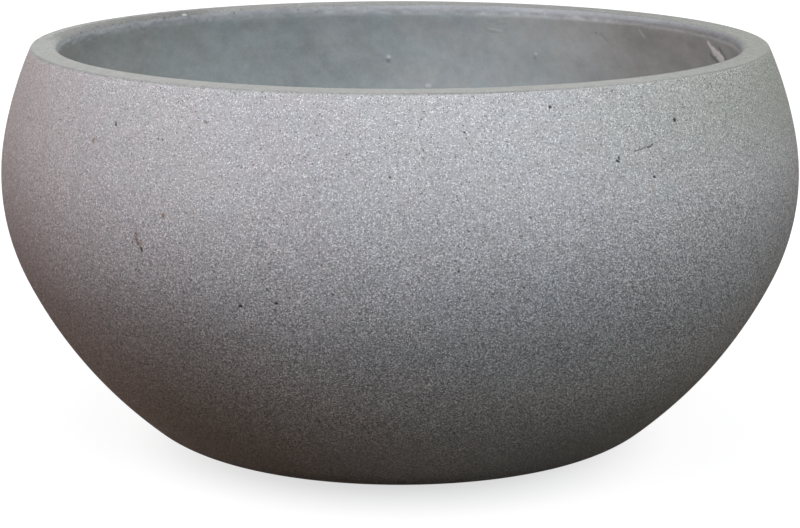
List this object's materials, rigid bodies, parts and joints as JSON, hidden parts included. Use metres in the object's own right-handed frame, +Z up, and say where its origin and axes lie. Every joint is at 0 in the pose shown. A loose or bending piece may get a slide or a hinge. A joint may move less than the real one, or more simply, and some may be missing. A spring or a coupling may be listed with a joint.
{
  "type": "concrete bowl planter",
  "caption": "Low round bowl planter cast in thin-walled concrete, with a speckled exposed-aggregate outside, smooth trowelled rim and inside, and a rubber stopper in the drain hole.",
  "frame": {"origin": "on the ground at the centre of the foot ring", "axes": "+Z up along the bowl's axis; X and Y are free, because the bowl is round"},
  "size_m": [0.4999, 0.5, 0.25],
  "materials": {
    "exposed_aggregate": "matt, fine exposed sand aggregate with light and dark grains",
    "trowelled_cement": "matt, smooth trowelled cement",
    "stopper_rubber": "matt black rubber"
  },
  "bodies": {
    "bowl": {"backing_shell": "trowelled_cement", "face_coat": "exposed_aggregate"},
    "stopper": {"drain_plug": "stopper_rubber"}
  },
  "joints": [
    {"name": "stopper_lift", "type": "slide", "parent": "bowl", "child": "stopper", "axis": [0, 0, 1], "range_m": [0, 0.26]}
  ]
}
